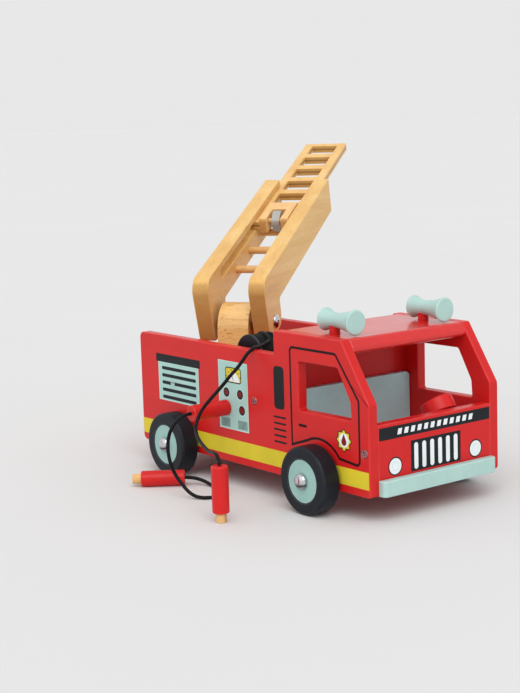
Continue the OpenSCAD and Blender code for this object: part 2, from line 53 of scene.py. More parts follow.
SLOT_OF = {s["node"]: s["material_slot"] for s in RECORD["subparts"]}


# ---- camera and light ----

def make_camera():
    """The photograph's viewpoint: a long lens, a little above the roof, from the front right."""
    azimuth, elevation, roll = math.radians(52.46), math.radians(8.49), math.radians(-1.81)
    target, distance = Vector((-0.0717, 0, 0.116)), 1.361
    back = Vector((math.sin(azimuth) * math.cos(elevation),
                   -math.cos(azimuth) * math.cos(elevation), math.sin(elevation)))
    level = Vector((math.cos(azimuth), math.sin(azimuth), 0))
    up = back.cross(level)
    right = level * math.cos(roll) + up * math.sin(roll)
    top = up * math.cos(roll) - level * math.sin(roll)
    camera = bpy.data.objects.new("camera", bpy.data.cameras.new("camera"))
    camera.data.lens = 79.0
    camera.data.sensor_width = 36.0
    camera.data.shift_x, camera.data.shift_y = 0.0039, -0.0152
    turn = Matrix((right, top, back)).transposed()
    camera.matrix_world = Matrix.Translation(target + back * distance) @ turn.to_4x4()
    bpy.context.scene.collection.objects.link(camera)
    bpy.context.scene.camera = camera


def make_lights():
    """A pale even room, a wide soft key from the front right and a weak fill from the right."""
    world = bpy.data.worlds.new("room")
    world.use_nodes = True
    background = world.node_tree.nodes["Background"]
    background.inputs["Color"].default_value = (1.0, 1.0, 1.0, 1)
    background.inputs["Strength"].default_value = 0.805
    bpy.context.scene.world = world
    bpy.context.scene.view_settings.view_transform = "Standard"
    for name, strength, spread, azimuth, elevation in (
            ("key", 1.30, 45, 58, 50), ("fill", 0.30, 60, 0, 35)):
        sun = bpy.data.lights.new(name, "SUN")
        sun.energy, sun.angle = strength, math.radians(spread)
        lamp = bpy.data.objects.new(name, sun)
        a, e = math.radians(azimuth), math.radians(elevation)
        towards = Vector((math.sin(a) * math.cos(e), -math.cos(a) * math.cos(e), math.sin(e)))
        lamp.rotation_mode = "QUATERNION"
        lamp.rotation_quaternion = towards.to_track_quat("Z", "Y")
        bpy.context.scene.collection.objects.link(lamp)


# ---- materials ----

class Shader:
    """One procedural material, with short calls for the nodes it needs."""

    def __init__(self, name):
        self.material = bpy.data.materials.new(name)
        self.material.use_nodes = True
        self.tree = self.material.node_tree
        self.surface = self.tree.nodes["Principled BSDF"]
        self.coordinates = self.node("ShaderNodeTexCoord").outputs["Object"]

    def node(self, kind, **inputs):
        made = self.tree.nodes.new(kind)
        for key, value in inputs.items():
            self.put(made.inputs[key.replace("_", " ")], value)
        return made

    def put(self, socket, value):
        if isinstance(value, bpy.types.NodeSocket):
            self.tree.links.new(value, socket)
        elif hasattr(value, "__len__") and len(socket.default_value) == 4:
            socket.default_value = (*value[:3], 1)
        else:
            socket.default_value = value

    def set(self, **inputs):
        for key, value in inputs.items():
            self.put(self.surface.inputs[key.replace("_", " ")], value)

    def mapped(self, stretch=(1, 1, 1), turn=(0, 0, 0)):
        """Object coordinates turned, then stretched, in metres."""
        turned = self.node("ShaderNodeMapping", Vector=self.coordinates)
        turned.inputs["Rotation"].default_value = turn
        scaled = self.node("ShaderNodeMapping", Vector=turned.outputs[0])
        scaled.inputs["Scale"].default_value = stretch
        return scaled.outputs[0]

    def noise(self, scale, detail=2.0, vector=None, distortion=0.0):
        made = self.node("ShaderNodeTexNoise", Vector=vector or self.coordinates, Scale=scale,
                         Detail=detail, Distortion=distortion)
        return made.outputs["Fac"]

    def remap(self, value, low, high, to_low=0.0, to_high=1.0):
        made = self.node("ShaderNodeMapRange", Value=value)
        for key, number in (("From Min", low), ("From Max", high),
                            ("To Min", to_low), ("To Max", to_high)):
            made.inputs[key].default_value = number
        return made.outputs[0]

    def ramp(self, value, *stops):
        made = self.node("ShaderNodeValToRGB", Fac=value)
        points = made.color_ramp.elements
        while len(points) < len(stops):
            points.new(0.5)
        for point, (place, colour) in zip(points, stops):
            point.position, point.color = place, (*colour, 1)
        return made.outputs[0]

    def mix(self, share, a, b, blend="MIX"):
        made = self.tree.nodes.new("ShaderNodeMix")
        made.data_type, made.blend_type = "RGBA", blend
        for key, value in ((0, share), (6, a), (7, b)):
            self.put(made.inputs[key], value)
        return made.outputs[2]

    def maths(self, operation, a, b=0.0):
        made = self.tree.nodes.new("ShaderNodeMath")
        made.operation = operation
        self.put(made.inputs[0], a)
        self.put(made.inputs[1], b)
        return made.outputs[0]

    def edges(self, width):
        """1 along convex edges within width metres of them, 0 on open faces."""
        made = self.node("ShaderNodeAmbientOcclusion", Distance=width)
        made.inside, made.only_local, made.samples = True, True, 8
        return self.remap(made.outputs["AO"], 0.94, 0.45)

    def recesses(self, width):
        """1 deep in corners and holes up to width metres wide, 0 on open faces."""
        made = self.node("ShaderNodeAmbientOcclusion", Distance=width)
        made.only_local, made.samples = True, 8
        return self.remap(made.outputs["AO"], 0.85, 0.35)

    def bump(self, height, strength, distance, under=None):
        made = self.node("ShaderNodeBump", Height=height, Strength=strength, Distance=distance)
        if under:
            self.put(made.inputs["Normal"], under)
        return made.outputs[0]


def shaded(colour, share):
    return tuple(c * share for c in colour)


def paint(name, colour, edge_wear_and_highlight, rough=0.34, gloss=0.22, coat=0.05):
    """Sprayed satin paint over wood: soft mottling, faint grain, orange peel, and lighter edges
    that are partly rubbed wear and partly a painted highlight.
    """
    s = Shader(name)
    grain = s.noise(1.0, 4.0, s.mapped((9.0, 140.0, 140.0)))
    cloud = s.noise(16.0, 3.0)
    peel = s.noise(900.0, 2.0)
    specks = s.remap(s.noise(420.0, 2.0), 0.70, 0.76)
    tone = s.ramp(s.mix(0.35, cloud, grain),
                  (0.30, shaded(colour, 0.92)), (0.70, shaded(colour, 1.07)))
    patches = s.remap(s.noise(60.0, 3.0), 0.35, 0.62, 0.25, 1.0)
    # Edges take a lighter colour in patches: partly rubbed wear, partly a painted highlight.
    edge_wear_and_highlight_share = s.maths("MULTIPLY", s.edges(1.3 * MM), patches)
    tone = s.mix(edge_wear_and_highlight_share, tone, edge_wear_and_highlight)
    tone = s.mix(s.maths("MULTIPLY", specks, 0.12), tone, shaded(colour, 0.6))
    s.set(Base_Color=tone, Roughness=s.remap(cloud, 0.3, 0.7, rough - 0.05, rough + 0.06),
          Specular_IOR_Level=gloss, Coat_Weight=coat, Coat_Roughness=0.12,
          Normal=s.bump(peel, 0.10, 0.1 * MM, s.bump(grain, 0.10, 0.2 * MM)))
    return s.material


def ink(name, colour, rough=0.42):
    """Screen-printed ink: thin, slightly uneven, with a few pinholes."""
    s = Shader(name)
    cloud = s.noise(45.0, 3.0)
    holes = s.remap(s.noise(800.0, 2.0), 0.72, 0.78)
    tone = s.ramp(cloud, (0.30, shaded(colour, 0.93)), (0.70, shaded(colour, 1.05)))
    s.set(Base_Color=s.mix(s.maths("MULTIPLY", holes, 0.25), tone, shaded(colour, 0.55)),
          Roughness=s.remap(cloud, 0.3, 0.7, rough - 0.05, rough + 0.05), Specular_IOR_Level=0.13,
          Normal=s.bump(s.noise(1100.0, 2.0), 0.08, 0.08 * MM))
    return s.material


def turned_paint(name, colour, edge_wear_and_highlight, rough):
    """Paint on a turned disc: fine rings from the lathe round the piece's own Y axis."""
    s = Shader(name)
    rings = s.node("ShaderNodeTexWave", Vector=s.coordinates, Scale=420.0,
                   Distortion=1.5, Detail=2.0)
    rings.wave_type, rings.rings_direction = "RINGS", "Y"
    cloud = s.noise(30.0, 3.0)
    tone = s.ramp(cloud, (0.30, shaded(colour, 0.88)), (0.70, shaded(colour, 1.10)))
    patches = s.remap(s.noise(90.0, 3.0), 0.35, 0.6, 0.2, 1.0)
    # Edges take a lighter colour in patches: partly rubbed wear, partly a painted highlight.
    edge_wear_and_highlight_share = s.maths("MULTIPLY", s.edges(1.6 * MM), patches)
    s.set(Base_Color=s.mix(edge_wear_and_highlight_share, tone, edge_wear_and_highlight),
          Roughness=s.remap(cloud, 0.3, 0.7, rough - 0.05, rough + 0.07),
          Specular_IOR_Level=0.16, Coat_Weight=0.03, Coat_Roughness=0.15,
          Normal=s.bump(rings.outputs["Fac"], 0.10, 0.1 * MM,
                        s.bump(s.noise(700.0), 0.1, 0.1 * MM)))
    return s.material


def wood(name, pale, mid, dark, turn, rough=0.42, gloss=0.25, coat=0.04, pores=1.0, ply=False):
    """Close-grained wood whose grain runs along X once the coordinates are turned."""
    s = Shader(name)
    broad = s.noise(1.0, 4.0, s.mapped((7.0, 75.0, 75.0), turn), 0.6)
    fine = s.noise(1.0, 4.0, s.mapped((26.0, 520.0, 520.0), turn))
    flecks = s.noise(1.0, 2.0, s.mapped((150.0, 1500.0, 900.0), turn))
    dashes = s.noise(1.0, 1.0, s.mapped((150.0, 1000.0, 1000.0), turn))
    cloud = s.noise(9.0, 2.0)
    figure = s.remap(s.mix(0.35, broad, fine), 0.28, 0.72)
    tone = s.ramp(figure, (0.0, dark), (0.45, mid), (1.0, pale))
    tone = s.mix(s.remap(cloud, 0.35, 0.7, 0.15, 0.40), tone, mid)
    for marks, low, high, depth, shade in ((flecks, 0.62, 0.72, 0.35, 0.8),
                                           (dashes, 0.655, 0.71, 0.50, 0.5)):
        share = s.maths("MULTIPLY", s.remap(marks, low, high), depth * pores)
        tone = s.mix(share, tone, shaded(dark, shade))
    # Edges painted paler: a painted highlight.
    tone = s.mix(s.maths("MULTIPLY", s.edges(1.2 * MM), 0.35), tone, shaded(pale, 1.08))
    ends = s.remap(s.maths("ABSOLUTE", along_grain(s, turn)), 0.75, 0.92, 0.0, 0.7)
    tone = s.mix(ends, tone, shaded(dark, 0.75))
    if ply:
        tone = s.mix(middle_ply(s), tone, shaded(dark, 0.42))
    s.set(Base_Color=tone, Roughness=s.remap(fine, 0.3, 0.7, rough - 0.06, rough + 0.08),
          Specular_IOR_Level=gloss, Coat_Weight=coat, Coat_Roughness=0.10,
          Normal=s.bump(flecks, 0.10, 0.12 * MM, s.bump(fine, 0.15, 0.12 * MM)))
    return s.material


def along_grain(s, turn):
    """How far a face looks along the grain, so that end grain can be darker."""
    facing = s.node("ShaderNodeVectorMath")
    facing.operation = "DOT_PRODUCT"
    s.put(facing.inputs[0], s.node("ShaderNodeTexCoord").outputs["Normal"])
    facing.inputs[1].default_value = (math.cos(turn[2]), -math.sin(turn[2]), 0)
    return facing.outputs["Value"]


def middle_ply(s):
    """1 on the dark ply halfway through the extension board, which shows on its cut edges."""
    low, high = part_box("ladder_extension")
    height = s.node("ShaderNodeVectorMath")
    height.operation = "DOT_PRODUCT"
    s.put(height.inputs[0], s.coordinates)
    height.inputs[1].default_value = LADDER_UP
    middle = LADDER_UP.dot((low + high) / 2)
    away = s.maths("ABSOLUTE", s.maths("SUBTRACT", height.outputs["Value"], middle))
    return s.remap(away, 1.15 * MM, 0.7 * MM, 0.0, 0.85)


def steel(name, colour, rough):
    """Plated steel with fine rub marks, recesses painted dark as shade, and a darker band round
    its middle painted on faces that tilt a little downward, as a painted reflection of a dark
    horizon.
    """
    s = Shader(name)
    marks = s.noise(1.0, 3.0, s.mapped((300.0, 3000.0, 900.0), (0.3, 0.2, 0.7)))
    cloud = s.noise(180.0, 3.0)
    tone = s.ramp(cloud, (0.3, shaded(colour, 0.86)), (0.7, shaded(colour, 1.05)))
    # Recesses painted near black: painted shade.
    tone = s.mix(s.recesses(0.7 * MM), tone, (0.04, 0.04, 0.045))
    # A dark band painted on faces that tilt a little downward: a painted reflection of a dark
    # horizon.
    facing = s.node("ShaderNodeTexCoord").outputs["Normal"]
    up = s.node("ShaderNodeSeparateXYZ", Vector=facing).outputs[2]
    band = s.ramp(s.remap(up, -1.0, 1.0), (0.18, (0.8, 0.8, 0.8)), (0.36, (0.05, 0.05, 0.06)),
                  (0.47, (1.0, 1.0, 1.0)))
    tone = s.mix(1.0, tone, band, "MULTIPLY")
    s.set(Base_Color=tone, Metallic=1.0, Roughness=s.remap(marks, 0.3, 0.7, rough, rough + 0.12),
          Normal=s.bump(marks, 0.06, 0.05 * MM))
    return s.material


def hose_rubber(name, colour):
    """Smooth black cord: a fine lay of strands twisted round it, read from its own UVs."""
    s = Shader(name)
    along = s.node("ShaderNodeTexCoord").outputs["UV"]
    strands = s.node("ShaderNodeTexWave", Vector=along, Scale=6.0, Distortion=0.3, Detail=1.0)
    strands.bands_direction = "DIAGONAL"
    cloud = s.noise(120.0, 3.0)
    tone = s.ramp(cloud, (0.3, shaded(colour, 0.75)), (0.7, shaded(colour, 1.35)))
    s.set(Base_Color=tone, Roughness=s.remap(cloud, 0.3, 0.7, 0.36, 0.50),
          Specular_IOR_Level=0.14, Normal=s.bump(strands.outputs["Fac"], 0.10, 0.08 * MM))
    return s.material


def moulding(name, colour, edge_wear_and_highlight):
    """Satin moulded plastic with lighter edges, partly rubbed wear and partly a painted
    highlight.
    """
    s = Shader(name)
    cloud = s.noise(90.0, 3.0)
    tone = s.ramp(cloud, (0.3, shaded(colour, 0.92)), (0.7, shaded(colour, 1.06)))
    # Edges take a lighter colour: partly rubbed wear, partly a painted highlight.
    s.set(Base_Color=s.mix(s.maths("MULTIPLY", s.edges(0.9 * MM), 0.5), tone, edge_wear_and_highlight),
          Roughness=s.remap(cloud, 0.3, 0.7, 0.30, 0.42), Specular_IOR_Level=0.35,
          Normal=s.bump(s.noise(1200.0), 0.08, 0.06 * MM))
    return s.material


# Each second colour is a paint's lighter edge colour: red and aqua are partly wear and partly a
# painted highlight, navy is a painted highlight.
RED, RED_EDGE_WEAR_AND_HIGHLIGHT = (0.62, 0.014, 0.014), (0.88, 0.13, 0.11)
AQUA, AQUA_EDGE_WEAR_AND_HIGHLIGHT = (0.42, 0.62, 0.58), (0.62, 0.84, 0.79)
NAVY, NAVY_EDGE_HIGHLIGHT = (0.010, 0.013, 0.018), (0.14, 0.16, 0.19)
LADDER_HEADING, LADDER_RISE = math.radians(126), math.radians(17)
LADDER_TURN, ACROSS_TURN = (0, 0, -LADDER_HEADING), (0, 0, math.radians(90) - LADDER_HEADING)
LADDER_UP = Vector((-math.sin(LADDER_RISE) * math.cos(LADDER_HEADING),
                    -math.sin(LADDER_RISE) * math.sin(LADDER_HEADING), math.cos(LADDER_RISE)))

# The second colour given to each paint, turned paint and moulding is its lighter edge colour:
# partly wear, partly a painted highlight.
MATERIALS = {
    "red_paint": paint("red_paint", RED, RED_EDGE_WEAR_AND_HIGHLIGHT),
    "gloss_red": paint("gloss_red", RED, RED_EDGE_WEAR_AND_HIGHLIGHT, 0.24, 0.4, 0.3),
    "aqua_paint": paint("aqua_paint", AQUA, AQUA_EDGE_WEAR_AND_HIGHLIGHT, 0.42),
    "seat_paint": paint("seat_paint", (0.47, 0.90, 0.92), (0.70, 0.96, 0.96), 0.42),
    "navy_paint": turned_paint("navy_paint", NAVY, NAVY_EDGE_HIGHLIGHT, 0.36),
    "aqua_turned": turned_paint("aqua_turned", (0.32, 0.53, 0.49), (0.66, 0.88, 0.83), 0.40),
    "boom_wood": wood("boom_wood", (0.87, 0.60, 0.26), (0.76, 0.455, 0.145), (0.62, 0.32, 0.085),
                      LADDER_TURN, pores=0.7),
    "ply_wood": wood("ply_wood", (0.88, 0.60, 0.26), (0.79, 0.48, 0.165), (0.65, 0.34, 0.095),
                     LADDER_TURN, pores=0.6, ply=True),
    "fork_wood": wood("fork_wood", (0.88, 0.58, 0.27), (0.82, 0.50, 0.205), (0.66, 0.34, 0.10),
                      LADDER_TURN, pores=0.4),
    "turret_wood": wood("turret_wood", (0.95, 0.66, 0.28), (0.84, 0.52, 0.18), (0.62, 0.32, 0.08),
                        ACROSS_TURN, rough=0.24, gloss=0.5, coat=0.5, pores=1.5),
    "dowel_wood": wood("dowel_wood", (0.84, 0.56, 0.27), (0.76, 0.46, 0.18), (0.60, 0.31, 0.10),
                       ACROSS_TURN),
    "plated_steel": steel("plated_steel", (0.66, 0.66, 0.69), 0.07),
    "grey_catch": moulding("grey_catch", (0.40, 0.40, 0.37), (0.66, 0.66, 0.62)),
    "hose_cord": hose_rubber("hose_cord", (0.006, 0.006, 0.007)),
}
INKS = {
    "navy": ink("ink_navy", (0.013, 0.016, 0.019)),
    "outline": ink("ink_outline", (0.014, 0.006, 0.008)),
    "yellow": ink("ink_yellow", (0.70, 0.57, 0.035)),
    "aqua": ink("ink_aqua", (0.40, 0.63, 0.58)),
    "white": ink("ink_white", (0.82, 0.86, 0.88)),
    "light": ink("ink_light", (0.56, 0.78, 0.73)),
    "dark_red": ink("ink_dark_red", (0.20, 0.015, 0.015)),
}


# ---- meshes ----

WELD = 0.002 * MM
FLAT_WITHIN = math.radians(0.4)
SHARP_FROM, BEVEL_STEPS = 35, 3


def new_piece(name, mesh, body, material):
    """Puts a mesh in the scene with its material, riding on its body; prints have no slot."""
    piece = bpy.data.objects.new(name, mesh)
    bpy.context.scene.collection.objects.link(piece)
    mesh.materials.clear()
    mesh.materials.append(material)
    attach(piece, body)
    return piece


def smooth_by_angle(mesh, degrees):
    for polygon in mesh.polygons:
        polygon.use_smooth = True
    mesh.set_sharp_from_angle(angle=math.radians(degrees))


def softened(node, edge, material=None, centre=None):
    """A finer copy of a CAD solid: flat faces made whole and every sharp edge rounded."""
    grid = bmesh.new()
    grid.from_mesh(frame["nodes"][node].data)
    bmesh.ops.remove_doubles(grid, verts=grid.verts, dist=WELD)
    bmesh.ops.dissolve_limit(grid, angle_limit=FLAT_WITHIN, verts=grid.verts, edges=grid.edges)
    if centre:
        bmesh.ops.translate(grid, verts=grid.verts, vec=-Vector(centre))
    rough = bpy.data.meshes.new(node + "_rough")
    grid.to_mesh(rough)
    grid.free()
    holder = bpy.data.objects.new(node + "_rough", rough)
    bpy.context.scene.collection.objects.link(holder)
    bevel = holder.modifiers.new("bevel", "BEVEL")
    bevel.width, bevel.segments, bevel.limit_method = edge * MM, BEVEL_STEPS, "ANGLE"
    bevel.angle_limit = math.radians(SHARP_FROM)
    bevel.use_clamp_overlap = False
    smooth_by_angle(rough, SHARP_FROM)
    weighted = holder.modifiers.new("weighted", "WEIGHTED_NORMAL")
    weighted.weight, weighted.keep_sharp = 100, True
    ready = bpy.context.evaluated_depsgraph_get()
    mesh = bpy.data.meshes.new_from_object(holder.evaluated_get(ready), depsgraph=ready)
    bpy.data.objects.remove(holder)
    mesh.name = node + "_fine"
    slot = SLOT_OF[node]
    piece = new_piece(node + "_fine", mesh, BODY_OF[node], MATERIALS[material or slot])
    if centre:
        piece.location = centre
    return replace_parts(piece, node)


def through(points, steps):
    """A smooth line through the points, with steps pieces between each two."""
    line = []
    for i in range(len(points) - 1):
        before, a, b = points[max(i - 1, 0)], points[i], points[i + 1]
        after = points[min(i + 2, len(points) - 1)]
        for k in range(steps):
            t = k / steps
            line.append(0.5 * (2 * a + (b - before) * t
                               + (2 * before - 5 * a + 4 * b - after) * t * t
                               + (3 * a - before - 3 * b + after) * t ** 3))
    return line + [points[-1]]


def tube_mesh(name, line, radius, sides=14):
    """A closed tube along a line, with UVs that run round it and along it."""
    grid = bmesh.new()
    uv = grid.loops.layers.uv.new("along")
    count = len(line)
    side, far, rings = Vector((0, 0, 1)), 0.0, []
    for i, point in enumerate(line):
        ahead = (line[min(i + 1, count - 1)] - line[max(i - 1, 0)]).normalized()
        side = (side - ahead * side.dot(ahead)).normalized()
        other = ahead.cross(side)
        far += (point - line[i - 1]).length if i else 0.0
        ways = [side * math.cos(a) + other * math.sin(a)
                for a in (math.tau * k / sides for k in range(sides))]
        rings.append((far, [grid.verts.new(point + radius * way) for way in ways]))
    for (v0, low), (v1, high) in zip(rings, rings[1:]):
        for k in range(sides):
            n = (k + 1) % sides
            face = grid.faces.new((low[k], low[n], high[n], high[k]))
            for loop, (u, v) in zip(face.loops, ((k, v0), (k + 1, v0), (k + 1, v1), (k, v1))):
                loop[uv].uv = (u / sides, v / (math.tau * radius))
    grid.faces.new(list(reversed(rings[0][1])))
    grid.faces.new(rings[-1][1])
    mesh = bpy.data.meshes.new(name)
    grid.to_mesh(mesh)
    grid.free()
    smooth_by_angle(mesh, 50)
    return mesh


# ---- hoses ----

# The routes of the two free hoses, as in part.scad, and their radius, in mm
REEL_ROUTE = [
    (-2, -41, 124), (2, -48, 123), (5, -55, 122), (8, -61, 122), (11, -66, 122.5),
    (13, -71, 121.5), (13, -76, 118.5), (12, -80, 113.5), (10, -85, 107), (7, -90, 101),
    (4, -94, 95), (0, -99, 88), (-4, -104, 81), (-7, -109, 74), (-8, -113, 67),
    (-6, -117, 61), (0, -121, 57), (8, -125, 54.5), (18, -129, 52.5), (29, -133, 51),
    (39, -137, 50.5), (47, -140, 51.5), (53.5, -142.5, 52.5), (59.5, -144.5, 52),
    (63.5, -145.5, 49), (65, -146, 45)]
PLUG_ROUTE = [
    (-26, -107.5, 67.5), (-26, -113, 67.2), (-26.5, -118.8, 65.2), (-27.3, -123.8, 61),
    (-28.2, -127.3, 55.2), (-28.8, -129.3, 48.6), (-28.9, -130, 41.6), (-28.3, -129.8, 34.6),
    (-26.9, -129, 27.8), (-24.6, -127.6, 21.2), (-21.2, -125.8, 15.2), (-16.6, -124, 10),
    (-11.6, -122, 5.4), (-6, -119.4, 2.6), (-1, -115.6, 1.7), (2.4, -110.4, 1.6),
    (3.4, -104.2, 1.6), (1.6, -98, 1.6), (-3, -92, 1.6), (-9, -88.6, 1.6), (-15.6, -87, 1.6),
    (-22.4, -86.2, 1.6), (-29, -86, 1.8), (-35.2, -86.2, 2.8), (-40.6, -87.4, 4.2),
    (-45, -90.2, 5.6), (-48.8, -94, 6.5), (-52, -98, 6.8)]
HOSE_RADIUS, HOSE_STEPS = 1.5, 4


def free_hose(name, node, route):
    line = through([Vector(p) * MM for p in route], HOSE_STEPS)
    piece = new_piece(name, tube_mesh(name, line, HOSE_RADIUS * MM), "chassis",
                      MATERIALS["hose_cord"])
    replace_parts(piece, node)


def reel_winding():
    """Two layers of hose wound on the reel; the outer one rises to meet the free hose."""
    low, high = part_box("wound_hose")
    radius = HOSE_RADIUS * MM
    axis_x, axis_z = (low.x + high.x) / 2, (low.z + high.z) / 2
    outer, layer_step, squeeze, sides = (high.z - low.z) / 2 - radius, 1.8 * radius, 0.97, 10
    start, stop = low.y + radius, high.y - radius
    turns, steps, leave, rise_from = 5.5, 40, math.radians(-45), 0.9
    meet = Vector(REEL_ROUTE[0]) * MM
    meet_radius = math.hypot(meet.x - axis_x, meet.z - axis_z)
    line = []
    for layer, wound in enumerate((outer - layer_step, outer)):
        for k in range(int(turns * steps) + 1):
            t = k / (turns * steps)
            angle = leave + math.tau * turns * (t + layer)
            rise = max(0.0, (t - rise_from) / (1 - rise_from)) ** 2 if layer else 0.0
            reach = wound + rise * (meet_radius - wound)
            y = stop + (start - stop) * (1 - t if layer else t)
            line.append(Vector((axis_x + reach * math.cos(angle), y + (meet.y - y) * rise,
                                axis_z - reach * math.sin(angle))))
    piece = new_piece("reel_winding", tube_mesh("reel_winding", line, squeeze * radius, sides),
                      "reel", MATERIALS["hose_cord"])
    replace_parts(piece, "wound_hose")


# ---- printed graphics ----
# Places on the side panels are in mm, along X and then up Z. A shape's lift is the height of its
# face above the panel in mm, so prints that lie over each other never share a plane.

def arc(cx, cz, r, start, stop, steps):
    return [(cx + r * math.cos(math.radians(start + (stop - start) * k / steps)),
             cz + r * math.sin(math.radians(start + (stop - start) * k / steps)))
            for k in range(steps + 1)]


def disc(cx, cz, r, steps=36):
    return arc(cx, cz, r, 0, 360, steps)[:-1]


def plate(x0, z0, x1, z1, r=0.4):
    """A rectangle with rounded corners."""
    corners = ((x1 - r, z1 - r, 0), (x0 + r, z1 - r, 90),
               (x0 + r, z0 + r, 180), (x1 - r, z0 + r, 270))
    return [p for cx, cz, a in corners for p in arc(cx, cz, r, a, a + 90, 6)]


def stroke(points, width, closed=True):
    """The loops of a line of that width along the points, with mitred corners."""
    flat = [Vector(p) for p in points]
    count = len(flat)
    left, right = [], []
    for i, p in enumerate(flat):
        before = flat[i - 1] if closed or i else 2 * p - flat[1]
        after = flat[(i + 1) % count] if closed or i < count - 1 else 2 * p - flat[i - 1]
        a, b = (p - before).normalized(), (after - p).normalized()
        square = Vector((-(a + b).y, (a + b).x)).normalized()
        reach = width / 2 / max(0.5, square.dot(Vector((-a.y, a.x))))
        left.append(tuple(p + square * reach))
        right.append(tuple(p - square * reach))
    if closed:
        return [left, right]
    return [left + right[::-1]]


def printed(name, ink_name, place, shapes):
    """One object of printed shapes, each given as its loops and its lift."""
    sunk = -0.02
    grid = bmesh.new()
    for loops, lift in shapes:
        flat = [p for loop in loops for p in loop]
        faces = tessellate_polygon([[Vector((a, b, 0)) for a, b in loop] for loop in loops])
        top = [grid.verts.new(place(a, b, lift)) for a, b in flat]
        base = [grid.verts.new(place(a, b, sunk)) for a, b in flat]
        for i, j, k in faces:
            grid.faces.new((top[i], top[j], top[k]))
            grid.faces.new((base[k], base[j], base[i]))
        first = 0
        for loop in loops:
            for i in range(len(loop)):
                j = (i + 1) % len(loop)
                grid.faces.new((top[first + i], base[first + i], base[first + j], top[first + j]))
            first += len(loop)
    bmesh.ops.recalc_face_normals(grid, faces=grid.faces)
    mesh = bpy.data.meshes.new(name)
    grid.to_mesh(mesh)
    grid.free()
    new_piece(name, mesh, "chassis", INKS[ink_name])


def centre_of(node):
    """X and Z of the middle of a node, in mm."""
    low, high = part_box(node)
    return (low.x + high.x) / 2 / MM, (low.z + high.z) / 2 / MM


SOCKET = centre_of("side_plug")
FRONT_WHEEL = centre_of("tyre_front_right")
BAND_LOW, BAND_HIGH, BAND_MARGIN = 27.15, 40.85, 1.1
SHUTTER = (-127.5, 61.5, -66, 97)
SHUTTER_HEAD = (-130.6, 96, -63.5, 103.2)
SLATS = [64.8 + 6.5 * i for i in range(5)]
LATCH = (-106, SLATS[2])
PUMP_PANEL = (-36.5, 49.3, 4, 107.8)
GAUGE = (-26, 90, -5, 102.4)
NEEDLE_HUB = (-15.5, 91.6)
GAUGE_FACE_Z, GAUGE_FACE_R = 90.7, 8.2
DIALS = ((-25.8, 80.7), (-6.9, 80.7), (-4.8, 67.3))
DIAL_CAPS = (2.6, 2.6, 3.0)
GRILLE_BARS = [x + 1.6 * i for x in (-33.6, -9.8) for i in range(8)]
SLOTS = (48.4, 53.6, 58.7, 63.8, 69)
BADGE = (124.8, 62)
SIDE_INKS = ("yellow", "aqua", "light", "white", "dark_red", "navy", "outline")


def door_outline():
    """Line round the door, following the wheel arch below and the pillar in front."""
    arch = arc(*FRONT_WHEEL, 31.2, 38, 116, 16)
    lower_left = [(61.3, 49.2)]
    top_left = arc(64.5, 125.0, 3.5, 180, 90, 6)
    top_right = arc(114.6, 124.6, 3.9, 90, 36, 5)
    knee = arc(137.6, 93.0, 5.2, 36, 0, 4)
    front_foot = arc(138.8, 48.6, 4.0, 0, -80, 6)
    return arch + lower_left + top_left + top_right + knee + front_foot


def badge_outline(scale):
    """Round badge with eight scallops."""
    x, z = BADGE
    rim = [(8.0 + 0.9 * math.cos(8 * a), a) for a in (math.tau * k / 96 for k in range(96))]
    return [(x + scale * r * math.cos(a), z + scale * r * math.sin(a)) for r, a in rim]


def drop_outline():
    """Water drop in the middle of the badge."""
    x, z = BADGE
    return [(x, z + 5.2)] + arc(x, z - 1.2, 3.0, 150, 390, 16)


def framed(x0, z0, x1, z1):
    """A thin pale line just inside a plate's edge."""
    inset, width = 0.3, 0.6
    return stroke(plate(x0 + inset, z0 + inset, x1 - inset, z1 - inset), width)


def shutter_shapes():
    """The shutter: a plate under a dark head, five slats and a latch on the middle one."""
    x0, z0, x1, _ = SHUTTER
    line_top = SHUTTER_HEAD[1] + 0.3
    return [
        ("aqua", [plate(*SHUTTER)], 0.05), ("aqua", [disc(*LATCH, 2.9)], 0.12),
        ("light", framed(x0, z0, x1, line_top), 0.08), ("navy", [plate(*SHUTTER_HEAD)], 0.10),
        *[("navy", [plate(-122, z - 1.5, -70.2, z + 1.5, 1.3)], 0.09) for z in SLATS],
        ("navy", stroke(arc(LATCH[0], LATCH[1] - 0.6, 1.9, 10, 170, 10), 0.55, False), 0.15)]


def gauge_shapes():
    """The gauge: a pale half disc in a yellow plate, a needle and six marks."""
    x, z = NEEDLE_HUB
    plate_line = plate(*GAUGE, 2.4)
    left, right = (x - GAUGE_FACE_R, GAUGE_FACE_Z), (x + GAUGE_FACE_R, GAUGE_FACE_Z)
    marks = [(x + 10.2 * math.cos(a), z + 9.0 * math.sin(a))
             for a in map(math.radians, (22, 48, 76, 104, 132, 158))]
    return [
        ("yellow", [plate_line], 0.10), ("navy", stroke(plate_line, 0.9), 0.14),
        ("white", [[left, right] + arc(x, GAUGE_FACE_Z, GAUGE_FACE_R, 8, 172, 16)], 0.13),
        ("dark_red", stroke([(x, z), (x - 2.6, z + 6.4)], 0.7, False), 0.17),
        *[("navy", [disc(*mark, 0.6, 12)], 0.14) for mark in marks]]


def pump_shapes():
    """The pump panel: a plate round the hose socket, three dials and two small grilles."""
    return [
        ("aqua", [plate(*PUMP_PANEL), disc(*SOCKET, 4.5)], 0.05),
        ("light", framed(*PUMP_PANEL), 0.08),
        *[("light", stroke(disc(*dial, 4.7), 0.5), 0.08) for dial in DIALS],
        *[("navy", [disc(*dial, 4.1)], 0.09) for dial in DIALS],
        *[("dark_red", [disc(*dial, r)], 0.12) for dial, r in zip(DIALS, DIAL_CAPS)],
        *[("navy", stroke([(x, 51), (x, 58.5)], 0.75, False), 0.09) for x in GRILLE_BARS]]


